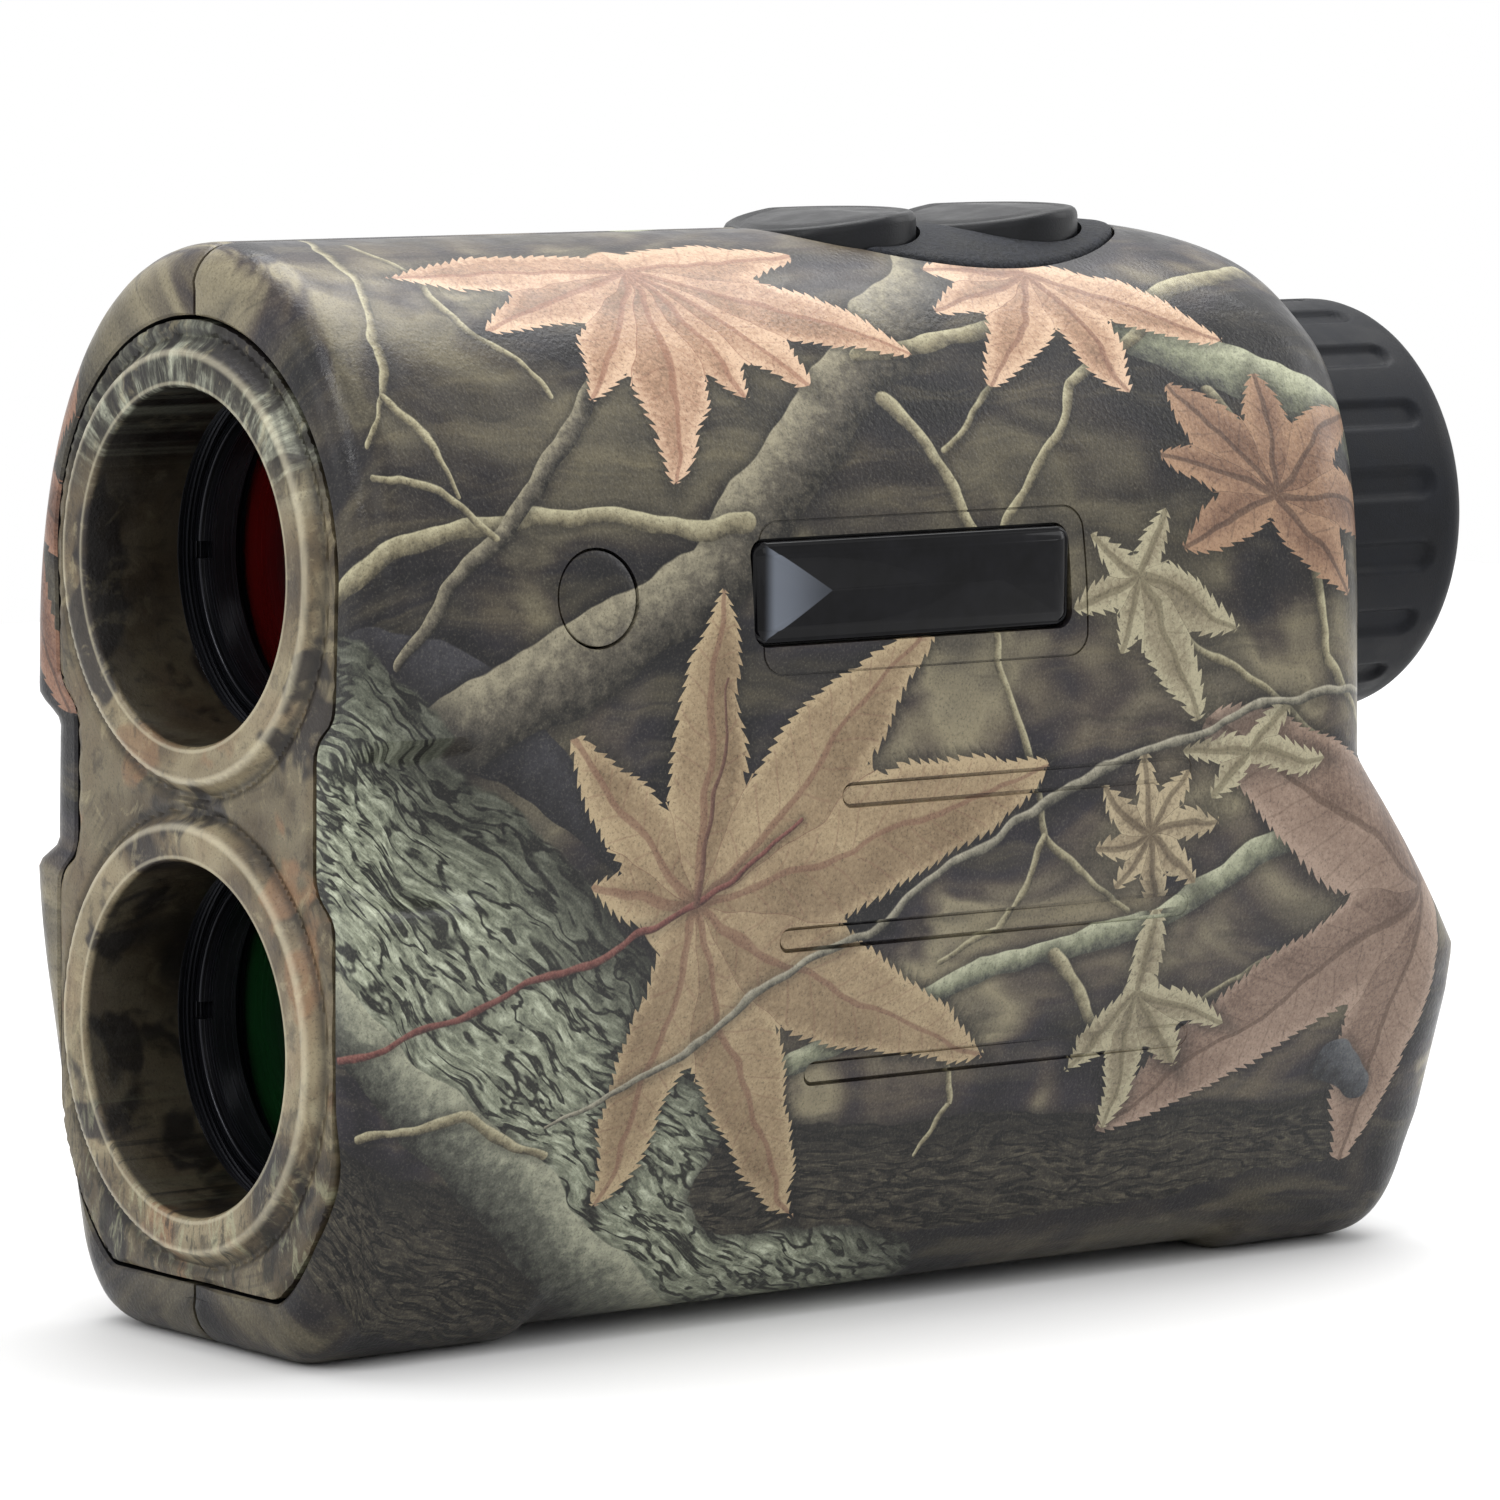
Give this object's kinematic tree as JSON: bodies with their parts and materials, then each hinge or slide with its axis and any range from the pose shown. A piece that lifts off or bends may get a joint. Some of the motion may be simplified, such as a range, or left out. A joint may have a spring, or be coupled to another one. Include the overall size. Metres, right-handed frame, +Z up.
{
  "type": "laser rangefinder",
  "caption": "Hand-held laser rangefinder: split camouflage case, viewing lens over receiver lens, ribbed focusing eyepiece, top keypad, rear battery cap.",
  "frame": {"origin": "middle of the overall box, on the surface the feet stand on", "axes": "+Z up, -Y the way the two front lenses look, +Y out of the eyepiece, +X towards the side with the badge"},
  "size_m": [0.0422, 0.1026, 0.0758],
  "materials": {
    "camouflage": "satin film-printed leaf, branch and bark pattern",
    "gloss_black": "high gloss",
    "steel": "plated",
    "pad_rubber": "fine grained",
    "key_rubber": "satin",
    "circuit_board": "solder mask",
    "black_metal": "black anodised",
    "red_lens": "red coated",
    "green_lens": "green coated",
    "clear_glass": "polished",
    "black_plastic": "moulded",
    "gold_plate": "gold plated",
    "eyecup_rubber": "matte",
    "chip_plastic": "moulded",
    "battery_sleeve": "shrink sleeve"
  },
  "bodies": {
    "case": {"right_shell": "camouflage", "left_shell": "camouflage", "front_bezel": "camouflage", "side_plug": "camouflage", "badge_plate": "gloss_black", "case_screw_1": "steel", "case_screw_2": "steel", "case_screw_3": "steel", "case_screw_4": "steel", "case_screw_5": "steel", "case_screw_6": "steel", "keypad_pad": "pad_rubber", "keypad_board": "circuit_board", "measure_switch": "steel", "mode_switch": "steel", "objective_cell": "black_metal", "objective_ring": "black_metal", "objective_lens": "red_lens", "receiver_cell": "black_metal", "receiver_ring": "black_metal", "receiver_lens": "green_lens", "receiver_hood": "black_plastic", "prism_frame": "black_plastic", "half_prism": "clear_glass", "roof_prism": "clear_glass", "laser_holder": "black_metal", "laser_diode": "gold_plate", "display_panel": "clear_glass", "display_frame": "black_plastic", "eyepiece_barrel": "black_metal", "sensor_board": "circuit_board", "light_sensor": "gold_plate", "main_board": "circuit_board", "processor_chip": "chip_plastic", "step_up_transformer": "chip_plastic", "storage_capacitor": "battery_sleeve", "battery_tube": "black_plastic", "battery_cell": "battery_sleeve", "battery_spring": "steel"},
    "measure_key": {"measure_button": "key_rubber"},
    "mode_key": {"mode_button": "key_rubber"},
    "diopter_knob": {"diopter_ring": "black_plastic", "eyecup": "eyecup_rubber"},
    "eyepiece_group": {"eyepiece_cell": "black_metal", "field_lens": "clear_glass", "eye_lens": "clear_glass", "eyepiece_ring": "black_metal"},
    "cap_carrier": {"cap_seal": "eyecup_rubber"},
    "cap": {"battery_cap": "black_plastic", "cap_contact": "gold_plate"}
  },
  "joints": [
    {"name": "measure_press", "type": "slide", "parent": "case", "child": "measure_key", "axis": [0, 0, -1], "range_m": [0, 0.0008], "stiffness_N_per_m": 1500, "springref_m": -0.0004},
    {"name": "mode_press", "type": "slide", "parent": "case", "child": "mode_key", "axis": [0, 0, -1], "range_m": [0, 0.0008], "stiffness_N_per_m": 1500, "springref_m": -0.0004},
    {"name": "diopter_turn", "type": "hinge", "parent": "case", "child": "diopter_knob", "pos_m": [0, 0.042, 0.0528], "axis": [0, 1, 0], "range_deg": [-150, 150]},
    {"name": "diopter_shift", "type": "slide", "parent": "case", "child": "eyepiece_group", "axis": [0, 1, 0], "range_m": [-0.0013, 0.0013]},
    {"name": "cap_pull", "type": "slide", "parent": "case", "child": "cap_carrier", "axis": [0, 1, 0], "range_m": [0, 0.02]},
    {"name": "cap_turn", "type": "hinge", "parent": "cap_carrier", "child": "cap", "pos_m": [0, 0.047, 0.0196], "axis": [0, 1, 0], "range_deg": [0, 90]}
  ],
  "couplings": [
    {"joint": "diopter_shift", "follows": "diopter_turn", "m_per_rad": 0.000477}
  ]
}
